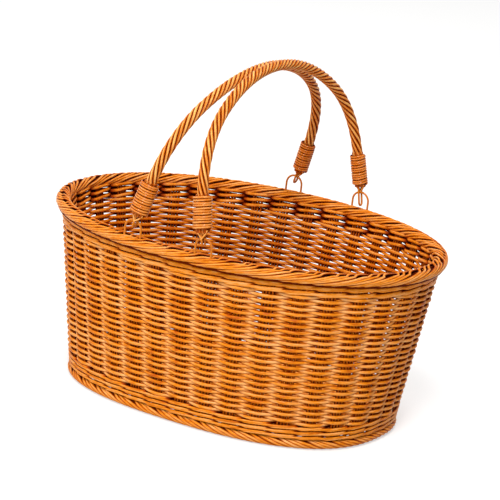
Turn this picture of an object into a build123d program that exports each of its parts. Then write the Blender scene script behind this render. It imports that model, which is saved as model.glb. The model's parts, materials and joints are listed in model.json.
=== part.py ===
from build123d import *
import math
import os

os.makedirs("parts", exist_ok=True)

# Oval storage basket with two swinging hoop handles.
# X runs along the oval, Y across it, Z is up, and the origin is on the floor under the middle.
# All lengths are in millimetres and all angles in degrees.

# Outline of the basket: the two ends of the flared wall are ovals
rim_length = 400.0
rim_width = 307.0
rim_height = 178.5
rim_fullness = 2.09
foot_length = 336.0
foot_width = 234.4
foot_fullness = 2.48
oval_spans = 8

# Canes
weaver = 3.3
stake = 2.4
stake_play = 0.3
rod_gap = 0.7
rods_in_group = 4
stake_groups = 36
first_stake_share = 0.5

# Foot border, the rolled ring that the basket stands on
foot_border_width = 13.0
foot_border_height = 9.5
foot_round = 4.0
foot_seat_round = 1.5

# Rim border, the rolled ring at the mouth
rim_border_width = 14.5
rim_border_height = 13.0
rim_round = 6.0
rim_seat_round = 3.0

# Wall: how far its outside lies inside the outermost line of the two borders
wall_inset_at_foot = 0.5
wall_inset_at_rim = 6.5
bottom_waling_height = 14.0
top_waling_height = 11.5

# Openings of the side weave: a plain grid, one column between every other pair of stake groups
opening_columns = 18
opening_rows = 11
opening_width = 8.5
opening_height = 4.4
opening_middle_share = 0.5

# Floor
floor_rib_groups = 11
floor_rib_spacing = 28.0

# Clearances
seat_gap = 0.3
overrun = 5.0

# Rim loops: bent wires that stand in the rim, two for each handle
loop_spacing = 78.0
loop_inset = 7.5
loop_wire = 2.0
loop_half_gap = 8.8
loop_rise = 5.8
loop_depth = 6.0

# Handles: a hoop of twisted cane with a bound bundle and a wire eye at each end
hoop_diameter = 10.4
hoop_rise = 151.5
leg_slope = 6.0
crown_half_angle = 35.0
meeting_offset = 6.44
binding_start = 15.0
binding_length = 34.0
binding_turns = 12
binding_wire = 2.0
binding_margin = 1.0
bundle_depth = 11.0
near_bundle_width = 14.0
far_bundle_width = 11.0
bundle_offset = 1.0
eye_wire = 2.0
eye_half_gap = 2.8
eye_depth = 10.0
eye_drop = 7.0

# Worked out from the sizes above
wall_thickness = stake + 2 * weaver
wall_foot_z = foot_border_height
wall_top_z = rim_height - rim_border_height
hinge_z = rim_height + loop_rise
loop_span = rim_width - 2 * loop_inset
# The handles lean together until their crowns meet, a little right of the middle
crown_reach = (loop_spacing - hoop_diameter - seat_gap) / 2
left_lean = math.degrees(math.asin((crown_reach + meeting_offset) / hoop_rise))
right_lean = math.degrees(math.asin((crown_reach - meeting_offset) / hoop_rise))
rod_pitch = stake + rod_gap
channel_width = rods_in_group * rod_pitch + 2 * stake_play
channel_depth = stake + 2 * stake_play
# The right far eye is longer than the other three and hangs down to the rim
longest_eye_drop = loop_half_gap + loop_rise - seat_gap - eye_wire / 2


def superellipse(half_length, half_width, fullness, turn):
    """One point of an oval; a fullness of 2 is an ellipse, more is squarer."""
    along, across = math.cos(turn), math.sin(turn)
    reach = (abs(along) ** fullness + abs(across) ** fullness) ** (-1 / fullness)
    return Vector(half_length * along * reach, half_width * across * reach)


def oval_way(half_length, half_width, fullness, turn):
    """The direction of an oval's outline at one of its points, counter-clockwise."""
    point = superellipse(half_length, half_width, fullness, turn)
    slant_x = math.copysign(abs(point.X / half_length) ** (fullness - 1) / half_length, point.X)
    slant_y = math.copysign(abs(point.Y / half_width) ** (fullness - 1) / half_width, point.Y)
    return Vector(-slant_y, slant_x).normalized()


def biarc(start, start_way, end, end_way):
    """Two arcs that join with one tangent, for the line block that it is called in; gives their radii."""
    chord, ways = end - start, start_way + end_way
    openness = 2 * (1 - start_way.dot(end_way))
    reach = (-chord.dot(ways) + math.sqrt(chord.dot(ways) ** 2 + openness * chord.dot(chord))) / openness
    joint = (start + end) / 2 + (start_way - end_way) * (reach / 2)
    radii = []
    for first, way, last in ((start, start_way, joint), (end, end_way * -1, joint)):
        span = last - first
        lean = way.dot(span.normalized())
        half_turn = math.acos(max(-1.0, min(1.0, lean)))
        across = (way - span.normalized() * lean).normalized()
        bulge = first + span / 2 + across * (span.length / 2 * math.tan(half_turn / 2))
        if first is start:
            ThreePointArc(first, bulge, last)
        else:
            ThreePointArc(last, bulge, first)
        radii.append(span.length / 2 / math.sin(half_turn))
    return radii


def oval(half_length, half_width, fullness):
    """The closed outline of an oval in smooth arcs, for the line block that it is called in."""
    turns = [2 * math.pi * step / oval_spans for step in range(oval_spans + 1)]
    points = [superellipse(half_length, half_width, fullness, turn) for turn in turns]
    ways = [oval_way(half_length, half_width, fullness, turn) for turn in turns]
    points[-1], ways[-1] = points[0], ways[0]
    for span in range(oval_spans):
        biarc(points[span], ways[span], points[span + 1], ways[span + 1])


def wall_oval(height, inset):
    """Half length, half width and fullness of the flared wall at a height, drawn in by inset."""
    share = (height - wall_foot_z) / (wall_top_z - wall_foot_z)
    foot_half_length = foot_length / 2 - wall_inset_at_foot
    foot_half_width = foot_width / 2 - wall_inset_at_foot
    rim_half_length = rim_length / 2 - wall_inset_at_rim
    rim_half_width = rim_width / 2 - wall_inset_at_rim
    half_length = foot_half_length + share * (rim_half_length - foot_half_length)
    half_width = foot_half_width + share * (rim_half_width - foot_half_width)
    fullness = foot_fullness + share * (rim_fullness - foot_fullness)
    return half_length - inset, half_width - inset, fullness


def stake_turns():
    """The angles of the stake groups, at even distances round the wall at half its height."""
    middle = wall_oval((wall_foot_z + wall_top_z) / 2, wall_thickness / 2)
    steps = stake_groups * oval_spans
    lengths = [0.0]
    last = superellipse(*middle, 0)
    for step in range(1, steps + 1):
        point = superellipse(*middle, 2 * math.pi * step / steps)
        lengths.append(lengths[-1] + (point - last).length)
        last = point
    turns = []
    for group in range(stake_groups):
        wanted = (group + first_stake_share) / stake_groups * lengths[-1]
        step = next(index for index, length in enumerate(lengths) if length >= wanted)
        before = lengths[step - 1]
        turns.append(2 * math.pi * (step - 1 + (wanted - before) / (lengths[step] - before)) / steps)
    return turns


def stake_line(turn, low_z, high_z):
    """Where the middle line of a stake group starts and ends, and its direction round the wall."""
    ends = []
    for height in (low_z, high_z):
        point = superellipse(*wall_oval(height, wall_thickness / 2), turn)
        ends.append(Vector(point.X, point.Y, height))
    along = oval_way(*wall_oval((low_z + high_z) / 2, wall_thickness / 2), turn)
    return ends[0], ends[1], along


# Foot border
with BuildPart() as foot_border:
    with BuildSketch():
        with BuildLine():
            oval(foot_length / 2, foot_width / 2, foot_fullness)
        make_face()
        with BuildLine():
            oval(foot_length / 2 - foot_border_width, foot_width / 2 - foot_border_width, foot_fullness)
        make_face(mode=Mode.SUBTRACT)
    extrude(amount=foot_border_height)
    upper, lower = foot_border.faces().sort_by(Axis.Z)[-1], foot_border.faces().sort_by(Axis.Z)[0]
    fillet(upper.outer_wire().edges() + lower.edges(), radius=foot_round)
    fillet(foot_border.faces().sort_by(Axis.Z)[-1].inner_wires()[0].edges(), radius=foot_seat_round)
foot_border.part.label = "foot_border"
export_step(foot_border.part, "parts/foot_border.step")

# Wall blank: a flared ring with one upright channel for each stake group
groups = stake_turns()
with BuildPart() as wall:
    for inset, mode in ((0, Mode.ADD), (wall_thickness, Mode.SUBTRACT)):
        for height in (wall_foot_z, wall_top_z):
            with BuildSketch(Plane.XY.offset(height)):
                with BuildLine():
                    oval(*wall_oval(height, inset))
                make_face()
        loft(ruled=True, mode=mode)
    for turn in groups:
        low, high, along = stake_line(turn, wall_foot_z - overrun, wall_top_z + overrun)
        with BuildSketch(Plane(origin=low, x_dir=along, z_dir=(0, 0, 1))):
            Rectangle(channel_width, channel_depth)
        extrude(amount=(high - low).length, dir=high - low, mode=Mode.SUBTRACT)

bottom_waling_top = wall_foot_z + bottom_waling_height
top_waling_bottom = wall_top_z - top_waling_height

with BuildPart() as bottom_waling:
    add(wall.part)
    split(bisect_by=Plane.XY.offset(bottom_waling_top), keep=Keep.BOTTOM)
bottom_waling.part.label = "bottom_waling"
export_step(bottom_waling.part, "parts/bottom_waling.step")

with BuildPart() as side_weave:
    add(wall.part)
    split(bisect_by=Plane.XY.offset(bottom_waling_top), keep=Keep.TOP)
    split(bisect_by=Plane.XY.offset(top_waling_bottom), keep=Keep.BOTTOM)
    row_height = (top_waling_bottom - bottom_waling_top) / opening_rows
    for column in range(opening_columns):
        between = column * stake_groups // opening_columns
        turn = (groups[between] + groups[between + 1]) / 2
        for row in range(opening_rows):
            height = bottom_waling_top + (row + opening_middle_share) * row_height
            point, _, along = stake_line(turn, height, height)
            with BuildSketch(Plane(origin=point, x_dir=along, z_dir=(along.Y, -along.X, 0))):
                Rectangle(opening_width, opening_height)
    extrude(amount=wall_thickness, both=True, mode=Mode.SUBTRACT)
side_weave.part.label = "side_weave"
export_step(side_weave.part, "parts/side_weave.step")

with BuildPart() as top_waling:
    add(wall.part)
    split(bisect_by=Plane.XY.offset(top_waling_bottom), keep=Keep.TOP)
top_waling.part.label = "top_waling"
export_step(top_waling.part, "parts/top_waling.step")

# Stakes: round rods in groups that stand on the foot border and carry the rim border
with BuildPart() as stakes:
    for turn in groups:
        low, high, along = stake_line(turn, wall_foot_z + seat_gap, wall_top_z - seat_gap)
        with BuildSketch(Plane(origin=low, x_dir=along, z_dir=high - low)):
            with GridLocations(rod_pitch, 0, rods_in_group, 1):
                Circle(stake / 2)
        extrude(amount=(high - low).length)
stakes.part.label = "stakes"
export_step(stakes.part, "parts/stakes.step")

# Rim border, with blind holes for the feet of the four rim loops
with BuildPart() as rim_border:
    with BuildSketch(Plane.XY.offset(wall_top_z)):
        with BuildLine():
            oval(rim_length / 2, rim_width / 2, rim_fullness)
        make_face()
        with BuildLine():
            oval(rim_length / 2 - rim_border_width, rim_width / 2 - rim_border_width, rim_fullness)
        make_face(mode=Mode.SUBTRACT)
    extrude(amount=rim_border_height)
    upper, lower = rim_border.faces().sort_by(Axis.Z)[-1], rim_border.faces().sort_by(Axis.Z)[0]
    fillet(upper.edges() + lower.outer_wire().edges(), radius=rim_round)
    fillet(rim_border.faces().sort_by(Axis.Z)[0].inner_wires()[0].edges(), radius=rim_seat_round)
    for side in (-1, 1):
        for face in (-1, 1):
            for foot in (-1, 1):
                x = side * loop_spacing / 2 + foot * loop_half_gap
                with BuildSketch(Plane.XY.offset(rim_height)):
                    with Locations((x, face * loop_span / 2)):
                        Circle(loop_wire / 2 + seat_gap)
                extrude(amount=-loop_depth, mode=Mode.SUBTRACT)
rim_border.part.label = "rim_border"
export_step(rim_border.part, "parts/rim_border.step")

# Floor: a woven mat with channels for groups of ribs that run across it
floor_top_z = wall_foot_z + wall_thickness
rib_z = (wall_foot_z + floor_top_z) / 2
floor_inset = wall_thickness + seat_gap
rib_places = [(group - (floor_rib_groups - 1) / 2) * floor_rib_spacing for group in range(floor_rib_groups)]
with BuildPart() as floor_weave:
    for height in (wall_foot_z, floor_top_z):
        with BuildSketch(Plane.XY.offset(height)):
            with BuildLine():
                oval(*wall_oval(height, floor_inset))
            make_face()
    loft(ruled=True)
    with BuildSketch(Plane.XZ.offset(-foot_width / 2)):
        with Locations([(place, rib_z) for place in rib_places]):
            Rectangle(channel_width, channel_depth)
    extrude(amount=foot_width, mode=Mode.SUBTRACT)
floor_weave.part.label = "floor_weave"
export_step(floor_weave.part, "parts/floor_weave.step")

with BuildPart() as floor_ribs:
    floor_half_length, floor_half_width, floor_fullness = wall_oval(wall_foot_z, floor_inset)
    for place in rib_places:
        for rod in range(rods_in_group):
            x = place + (rod - (rods_in_group - 1) / 2) * rod_pitch
            edge_share = (abs(x) + stake / 2) / floor_half_length
            half_rod = floor_half_width * (1 - edge_share ** floor_fullness) ** (1 / floor_fullness)
            with BuildSketch(Plane.XZ.offset(-half_rod)):
                with Locations((x, rib_z)):
                    Circle(stake / 2)
            extrude(amount=2 * half_rod)
floor_ribs.part.label = "floor_ribs"
export_step(floor_ribs.part, "parts/floor_ribs.step")


def wire_circle(path, diameter):
    """The section of a wire, square to the start of its path, for the part block that it is called in."""
    with BuildSketch(Plane(origin=path @ 0, z_dir=path % 0)) as section:
        Circle(diameter / 2)
    return section.sketch


# Rim loops
for side_name, side in (("left", -1), ("right", 1)):
    for face_name, face in (("near", -1), ("far", 1)):
        name = side_name + "_" + face_name + "_rim_loop"
        upright = Plane(
            origin=(side * loop_spacing / 2, face * loop_span / 2, hinge_z), x_dir=(1, 0, 0), z_dir=(0, -1, 0))
        foot_drop = -(loop_rise + loop_depth - seat_gap)
        with BuildPart() as rim_loop:
            with BuildLine(upright) as route:
                Line((-loop_half_gap, foot_drop), (-loop_half_gap, 0))
                ThreePointArc((-loop_half_gap, 0), (0, loop_half_gap), (loop_half_gap, 0))
                Line((loop_half_gap, 0), (loop_half_gap, foot_drop))
            sweep(sections=wire_circle(route.wire(), loop_wire), path=route.wire())
        rim_loop.part.label = name
        export_step(rim_loop.part, "parts/" + name + ".step")

# Handle shape in its own plane: u runs across the basket, v up from the hinge line.
# Each leg is a straight bound bundle, then a shoulder arc leads into a flatter crown arc.
slope = math.radians(leg_slope)
bundle_foot = (loop_span / 2 + bundle_offset, binding_start)
bundle_way = (-math.sin(slope), math.cos(slope))
bundle_top = (
    bundle_foot[0] + binding_length * bundle_way[0],
    bundle_foot[1] + binding_length * bundle_way[1])
crown_angle = math.radians(crown_half_angle)
leg_angle = math.pi / 2 - slope
crown_sine, crown_drop = math.sin(crown_angle), 1 - math.cos(crown_angle)
shoulder_sine = math.sin(leg_angle) - crown_sine
shoulder_drop = math.cos(crown_angle) - math.cos(leg_angle)
arch_drop = hoop_rise - bundle_top[1]
shoulder_radius = (
    (arch_drop * crown_sine - bundle_top[0] * crown_drop)
    / (shoulder_drop * crown_sine - shoulder_sine * crown_drop))
crown_radius = (bundle_top[0] - shoulder_radius * shoulder_sine) / crown_sine
print("hoop crown radius", round(crown_radius, 2), "shoulder radius", round(shoulder_radius, 2))


def arch_point(angle):
    """A point of the handle's arch; the angle is 0 at the crown and grows down each leg."""
    size = abs(angle)
    crown_part = min(size, crown_angle)
    across = crown_radius * math.sin(crown_part)
    height = hoop_rise - crown_radius * (1 - math.cos(crown_part))
    if size > crown_angle:
        across += shoulder_radius * (math.sin(size) - math.sin(crown_angle))
        height -= shoulder_radius * (math.cos(crown_angle) - math.cos(size))
    return math.copysign(across, angle), height


def winding(plane, half_width, half_depth):
    """The route of a binding round a bundle that rises along the plane's z; gives its tightest radius."""
    quarters = 4 * binding_turns
    pitch = (binding_length - 2 * binding_margin - binding_wire) / binding_turns
    points, ways = [], []
    for quarter in range(quarters + 1):
        turn = math.pi / 2 * quarter
        height = binding_margin + binding_wire / 2 + pitch * quarter / 4
        spot = (half_width * math.cos(turn), half_depth * math.sin(turn), height)
        way = (-half_width * math.sin(turn), half_depth * math.cos(turn), pitch / (2 * math.pi))
        points.append(plane.from_local_coords(spot))
        ways.append((plane.from_local_coords(way) - plane.origin).normalized())
    radii = []
    Line(points[0] - ways[0] * binding_wire, points[0])
    for quarter in range(quarters):
        radii += biarc(points[quarter], ways[quarter], points[quarter + 1], ways[quarter + 1])
    Line(points[-1], points[-1] + ways[-1] * binding_wire)
    return min(radii)


def least_gap(route, turns, diameter):
    """The least gap between a winding and its next turn, measured on points of its route."""
    count = 24 * turns
    spots = [route @ (index / count) for index in range(count + 1)]
    apart = count // turns // 2
    nearest = min(
        (spots[first] - spots[second]).length
        for first in range(count + 1)
        for second in range(first + apart, count + 1))
    return nearest - diameter


# Handles
for side_name, side, lean in (("left", -1, left_lean), ("right", 1, -right_lean)):
    tilt = math.radians(lean)
    normal = Vector(math.cos(tilt), 0, -math.sin(tilt))
    handle_plane = Plane(origin=(side * loop_spacing / 2, 0, hinge_z), x_dir=(0, 1, 0), z_dir=normal)

    with BuildPart() as hoop:
        with BuildLine(handle_plane) as arch:
            joints = (-leg_angle, -crown_angle, crown_angle, leg_angle)
            for first, last in zip(joints, joints[1:]):
                ThreePointArc(arch_point(first), arch_point((first + last) / 2), arch_point(last))
        sweep(sections=wire_circle(arch.wire(), hoop_diameter), path=arch.wire())
        for face, width in ((-1, near_bundle_width), (1, far_bundle_width)):
            foot = handle_plane.from_local_coords((face * bundle_foot[0], bundle_foot[1], 0))
            top = handle_plane.from_local_coords((face * bundle_top[0], bundle_top[1], 0))
            bundle_plane = Plane(origin=foot, x_dir=normal, z_dir=top - foot)
            with BuildSketch(bundle_plane):
                Ellipse(width / 2, bundle_depth / 2)
            extrude(amount=binding_length)
            for leg in (-1, 1):
                hole = (face * loop_span / 2 + leg * eye_half_gap, bundle_foot[1] - overrun, 0)
                hole_plane = Plane(
                    origin=handle_plane.from_local_coords(hole), x_dir=normal, z_dir=handle_plane.y_dir)
                with BuildSketch(hole_plane):
                    Circle(eye_wire / 2 + seat_gap)
                extrude(amount=overrun + eye_depth, mode=Mode.SUBTRACT)
    hoop.part.label = side_name + "_hoop"
    export_step(hoop.part, "parts/" + side_name + "_hoop.step")

    for face_name, face, width in (("near", -1, near_bundle_width), ("far", 1, far_bundle_width)):
        name = side_name + "_" + face_name
        foot = handle_plane.from_local_coords((face * bundle_foot[0], bundle_foot[1], 0))
        top = handle_plane.from_local_coords((face * bundle_top[0], bundle_top[1], 0))
        bundle_plane = Plane(origin=foot, x_dir=normal, z_dir=top - foot)
        stand_off = seat_gap + binding_wire / 2
        with BuildPart() as binding:
            with BuildLine() as turns_line:
                tightest = winding(bundle_plane, width / 2 + stand_off, bundle_depth / 2 + stand_off)
            route = turns_line.wire()
            sweep(sections=wire_circle(route, binding_wire), path=route)
        print(name, "binding: least gap", round(least_gap(route, binding_turns, binding_wire), 2),
              "tightest radius", round(tightest, 2))
        binding.part.label = name + "_binding"
        export_step(binding.part, "parts/" + name + "_binding.step")

        drop = longest_eye_drop if name == "right_far" else eye_drop
        eye_low = loop_half_gap - drop + eye_half_gap
        eye_high = bundle_foot[1] + eye_depth - seat_gap
        middle = face * loop_span / 2
        with BuildPart() as eye:
            with BuildLine(handle_plane) as eye_line:
                Line((middle - eye_half_gap, eye_high), (middle - eye_half_gap, eye_low))
                ThreePointArc(
                    (middle - eye_half_gap, eye_low), (middle, eye_low - eye_half_gap),
                    (middle + eye_half_gap, eye_low))
                Line((middle + eye_half_gap, eye_low), (middle + eye_half_gap, eye_high))
            sweep(sections=wire_circle(eye_line.wire(), eye_wire), path=eye_line.wire())
        eye.part.label = name + "_eye"
        export_step(eye.part, "parts/" + name + "_eye.step")
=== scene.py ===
# %% [markdown]
# # An oval cane basket, dressed strand by strand
#
# The real object is a storage basket woven from round cane, stained honey brown and lacquered. It has an oval,
# flared wall, a rolled border at the rim and at the foot, and two hoop handles that swing on small loops.
#
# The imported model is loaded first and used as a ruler. Every cane below is laid where that model has its plain
# solids, so nothing has to be fitted afterwards.

# %% Load the frame
import json
import math
import bpy
import numpy as np
from mathutils import Matrix, Vector


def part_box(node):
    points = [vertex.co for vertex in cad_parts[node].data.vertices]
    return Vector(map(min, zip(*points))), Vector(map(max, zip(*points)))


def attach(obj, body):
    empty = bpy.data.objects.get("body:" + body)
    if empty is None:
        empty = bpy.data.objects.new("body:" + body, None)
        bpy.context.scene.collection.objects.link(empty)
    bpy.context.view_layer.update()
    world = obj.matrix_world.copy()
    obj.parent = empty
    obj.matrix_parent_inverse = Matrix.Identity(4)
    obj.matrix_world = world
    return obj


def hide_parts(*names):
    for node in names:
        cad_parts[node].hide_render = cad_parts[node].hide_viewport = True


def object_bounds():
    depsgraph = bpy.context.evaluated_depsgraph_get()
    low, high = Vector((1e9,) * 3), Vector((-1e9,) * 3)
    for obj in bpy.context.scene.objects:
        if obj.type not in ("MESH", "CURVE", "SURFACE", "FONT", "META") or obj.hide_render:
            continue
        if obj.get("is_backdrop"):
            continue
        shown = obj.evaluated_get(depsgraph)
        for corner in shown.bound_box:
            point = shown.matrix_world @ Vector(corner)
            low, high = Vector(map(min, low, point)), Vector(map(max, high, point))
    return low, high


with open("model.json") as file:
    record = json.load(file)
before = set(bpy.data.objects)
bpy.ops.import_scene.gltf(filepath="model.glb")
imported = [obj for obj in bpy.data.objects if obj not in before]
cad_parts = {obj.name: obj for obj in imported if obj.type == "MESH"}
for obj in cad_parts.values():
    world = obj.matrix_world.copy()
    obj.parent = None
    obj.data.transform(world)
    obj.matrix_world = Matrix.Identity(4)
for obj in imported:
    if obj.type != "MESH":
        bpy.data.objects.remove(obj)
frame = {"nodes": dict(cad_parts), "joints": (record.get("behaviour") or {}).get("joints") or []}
cad_low, cad_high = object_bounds()
bpy.ops.object.select_all(action="DESELECT")

# %% [markdown]
# ## Sizes
#
# A basket maker thinks in millimetres and Blender in metres, so sizes are written in millimetres and multiplied
# by `mm` at the very end. The overall sizes are read from the loaded model. Only the canes' own sizes are new.

# %% Sizes of the basket
mm = 0.001
rng = np.random.default_rng(7)


def any_start():
    """A random place on a wave, so that no two canes wander alike."""
    return rng.uniform(0, 6.28)


def box_mm(node):
    """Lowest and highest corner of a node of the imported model, in millimetres."""
    low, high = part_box(node)
    return np.array(low) / mm, np.array(high) / mm


rim_low, rim_high = box_mm("rim_border")
foot_low, foot_high = box_mm("foot_border")
weave_low, weave_high = box_mm("side_weave")
rim_half_length, rim_half_width = rim_high[0], rim_high[1]
foot_half_length, foot_half_width = foot_high[0], foot_high[1]
# How square the ovals are, where 2 is an ellipse, and how far the wall stands in from the edge of each border.
rim_fullness, foot_fullness = 2.09, 2.48
wall_inset_at_rim, wall_inset_at_foot = 6.5, 0.5
wall_foot_z, wall_top_z = foot_high[2], rim_low[2]
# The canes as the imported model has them; a few are drawn a little thicker or thinner below.
stake = 2.4
weaver = 3.2
wall_thickness = 9.0
stake_groups = 36
print("rim", rim_half_length * 2, "x", rim_half_width * 2, "mm, wall from", wall_foot_z, "to", wall_top_z)

# %% [markdown]
# ## The camera
#
# The photo was taken with a long lens from a little above, and the camera was rolled, which is why the basket
# looks tipped. The angles and the distance were fitted to the outline of the rim, the foot and the handles.

# %% Camera
camera_turn, camera_rise, camera_roll = math.radians(30.061), math.radians(14.953), math.radians(6.738)
camera_distance = 2526.8
camera_shift_right, camera_shift_up = 8.246, 46.324
aim_height = 100.0
focal_pixels, frame_pixels, sensor_mm = 2600.0, 500.0, 36.0

back = Vector((
    math.sin(camera_turn) * math.cos(camera_rise),
    -math.cos(camera_turn) * math.cos(camera_rise),
    math.sin(camera_rise)))
level = Vector((math.cos(camera_turn), math.sin(camera_turn), 0))
upward = back.cross(level)
camera_right = math.cos(camera_roll) * level + math.sin(camera_roll) * upward
camera_up = math.cos(camera_roll) * upward - math.sin(camera_roll) * level
place = (back * camera_distance + camera_right * camera_shift_right + camera_up * camera_shift_up
         + Vector((0, 0, aim_height)))
camera_data = bpy.data.cameras.new("camera")
camera_data.sensor_width = sensor_mm
camera_data.lens = sensor_mm * focal_pixels / frame_pixels
camera_data.clip_end = 100
camera = bpy.data.objects.new("camera", camera_data)
bpy.context.scene.collection.objects.link(camera)
turned = Matrix((camera_right, camera_up, back)).transposed().to_4x4()
camera.matrix_world = Matrix.Translation(place * mm) @ turned
bpy.context.scene.camera = camera
print("camera at", [round(v, 3) for v in camera.location], "lens", round(camera_data.lens, 1), "mm")

# %% [markdown]
# ## Materials
#
# Every cane is the pith of rattan: a pale, fibrous wood that takes stain unevenly. It was dyed honey brown and
# sprayed with a gloss lacquer. To the eye that gives three things: long fine streaks along each cane, canes that
# differ a little from their neighbours, and small sharp highlights from the lacquer.
#
# Each cane carries two numbers at every point. The first says how pale it is there: partly the cane's own tone, as
# some canes took less stain than others, and partly a painted highlight where a cane bends from one side of the
# stakes to the other or faces the open air. The second is painted shade: it is high where the cane dives between
# others or faces away from the open air, where shade falls.

# %% Colour and node helpers


def colour(text):
    """A linear RGBA colour from an sRGB hex value."""
    parts = [int(text[i:i + 2], 16) / 255 for i in (1, 3, 5)]
    return [c / 12.92 if c <= 0.04045 else ((c + 0.055) / 1.055) ** 2.4 for c in parts] + [1.0]


def add_node(tree, kind, settings=None, links=None):
    """Adds a node, sets its properties or sockets, and links sockets to it."""
    node = tree.nodes.new(kind)
    for key, value in (settings or {}).items():
        if isinstance(key, int) or key in node.inputs:
            node.inputs[key].default_value = value
        else:
            setattr(node, key, value)
    for key, source in (links or {}).items():
        tree.links.new(source, node.inputs[key])
    return node


def ramp_stops(node, stops):
    """Sets the stops of a colour ramp from pairs of place and hex colour."""
    ramp = node.color_ramp
    while len(ramp.elements) < len(stops):
        ramp.elements.new(0.5)
    for element, (position, text) in zip(ramp.elements, stops):
        element.position = position
        element.color = colour(text)


print("honey cane in linear light:", [round(v, 3) for v in colour("#E58A1F")])

# %% [markdown]
# The streaks are a noise pattern read on each cane's own UV map, where U runs along the cane and V round it, one
# unit of U to a centimetre. Stretching the noise along U makes fibres. Blender's Principled shader does the
# lacquer with its coat, and coat and gloss both fade where the painted shade grows, so the shaded parts lose
# their reflections too.

# %% Cane material
fibre_stretch, fibre_scale = (0.7, 5.0, 1.0), 1.6
patch_scale = 45.0
bump_strength, bump_height = 0.35, 0.0002
# How much the fibres, the broad patches and a cane's own tone with its painted highlights say, and where on their
# sum the colours stand.
fibre_weight, patch_weight, tone_and_highlight_weight = 0.62, 0.15, 0.22
dark_stop, middle_stop, light_stop = 0.31, 0.45, 0.69
# The colours that the painted shade multiplies in, from none to the deepest shade in the crossings.
painted_shade_stops = ((0.0, "#FFFFFF"), (0.5, "#C08A74"), (1.0, "#4C140A"))


def cane_material(name, dark, middle, light, roughness=0.42, coat=0.35, coat_roughness=0.25, sheen=0.08):
    """Stained, lacquered cane: fibres along it, its own tone with painted highlights, painted shade in crossings."""
    material = bpy.data.materials.new(name)
    material.use_nodes = True
    tree = material.node_tree
    shader = tree.nodes["Principled BSDF"]
    uv = add_node(tree, "ShaderNodeTexCoord")
    fibre_map = add_node(tree, "ShaderNodeMapping", {"Scale": fibre_stretch}, {"Vector": uv.outputs["UV"]})
    fibre = add_node(tree, "ShaderNodeTexNoise", {"Scale": fibre_scale, "Detail": 4.0, "Roughness": 0.6},
                     {"Vector": fibre_map.outputs[0]})
    patch = add_node(tree, "ShaderNodeTexNoise", {"Scale": patch_scale, "Detail": 2.0},
                     {"Vector": uv.outputs["Object"]})
    # The first attribute is the cane's own tone with painted highlights; the second is painted shade.
    tone_and_highlight = add_node(tree, "ShaderNodeAttribute", {"attribute_name": "tone_and_highlight"})
    dusk = add_node(tree, "ShaderNodeAttribute", {"attribute_name": "dusk"})
    fibre_part = add_node(tree, "ShaderNodeMath", {"operation": "MULTIPLY", 1: fibre_weight},
                          {0: fibre.outputs[0]})
    patch_part = add_node(tree, "ShaderNodeMath", {"operation": "MULTIPLY_ADD", 1: patch_weight},
                          {0: patch.outputs[0], 2: fibre_part.outputs[0]})
    mixed = add_node(tree, "ShaderNodeMath", {"operation": "MULTIPLY_ADD", 1: tone_and_highlight_weight},
                     {0: tone_and_highlight.outputs["Fac"], 2: patch_part.outputs[0]})
    ramp = add_node(tree, "ShaderNodeValToRGB", {}, {0: mixed.outputs[0]})
    ramp_stops(ramp, ((dark_stop, dark), (middle_stop, middle), (light_stop, light)))
    # The painted shade multiplies the cane's colour down towards a deep red-brown.
    depth = add_node(tree, "ShaderNodeValToRGB", {}, {0: dusk.outputs["Fac"]})
    ramp_stops(depth, painted_shade_stops)
    shaded = add_node(tree, "ShaderNodeMix", {"data_type": "RGBA", "blend_type": "MULTIPLY", 0: 1.0},
                      {6: ramp.outputs[0], 7: depth.outputs[0]})
    tree.links.new(shaded.outputs[2], shader.inputs["Base Color"])
    bump = add_node(tree, "ShaderNodeBump", {"Strength": bump_strength, "Distance": bump_height},
                    {"Height": fibre.outputs[0]})
    tree.links.new(bump.outputs[0], shader.inputs["Normal"])
    shader.inputs["Roughness"].default_value = roughness
    # Where painted shade lies, the coat and the gloss are taken away too, so the painted shade also dims reflections.
    unshaded = add_node(tree, "ShaderNodeMath", {"operation": "SUBTRACT", "use_clamp": True, 0: 1.0},
                     {1: dusk.outputs["Fac"]})
    for socket, strength in (("Coat Weight", coat), ("Specular IOR Level", sheen)):
        gloss = add_node(tree, "ShaderNodeMath", {"operation": "MULTIPLY", 1: strength}, {0: unshaded.outputs[0]})
        tree.links.new(gloss.outputs[0], shader.inputs[socket])
    shader.inputs["Coat Roughness"].default_value = coat_roughness
    shader.inputs["IOR"].default_value = 1.5
    return material


# The third colour of each, the palest, is also where the painted highlights take a cane.
# The weavers and borders: stained, with the thinnest coat of lacquer.
woven_cane = cane_material("honey_stained_cane", "#BC5004", "#EC8A0E", "#FCBE78", coat=0.06)
# The stakes and ribs: the same stain, but the spray hardly reached them.
stake_cane = cane_material("stained_stake_cane", "#B04E04", "#E07C10", "#F2A034", coat=0.03)
# The hoops: sprayed all round and worn smooth by hands.
handle_cane = cane_material("lacquered_handle_cane", "#AC4602", "#DC7608", "#FFC874", 0.34, 0.08, 0.12, 0.05)
# The bindings: fine cane, wound damp and lacquered last, so the glossiest.
binding_cane = cane_material("lacquered_binding_cane", "#AC4802", "#D87206", "#FFC070", 0.32, 0.3, 0.1, 0.05)
# The loops, eyes and straps: fine cane over wire, lacquered before it was bent.
loop_cane = cane_material("fine_loop_cane", "#B45A0C", "#E48A24", "#FFC478", 0.34, 0.16, 0.12)
print("materials:", ", ".join(m.name for m in bpy.data.materials))

# %% [markdown]
# ## One way to make a cane
#
# A cane is a round rod that follows a line. The basket has many hundreds of them, and each bends over and under
# its neighbours by a rule, so their lines are computed, and one function turns many lines into one mesh. Adding
# curves by hand and giving them a round bevel would look the same, but a curve keeps no tint for each cane.
#
# At each point of a line the function needs two directions across the cane. The first is square to the cane and to
# a reference direction that the cane never runs along, and the second is square to both. A ring of points goes
# round the line along them, and faces join each ring to the next.

# %% Rings and faces


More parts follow.
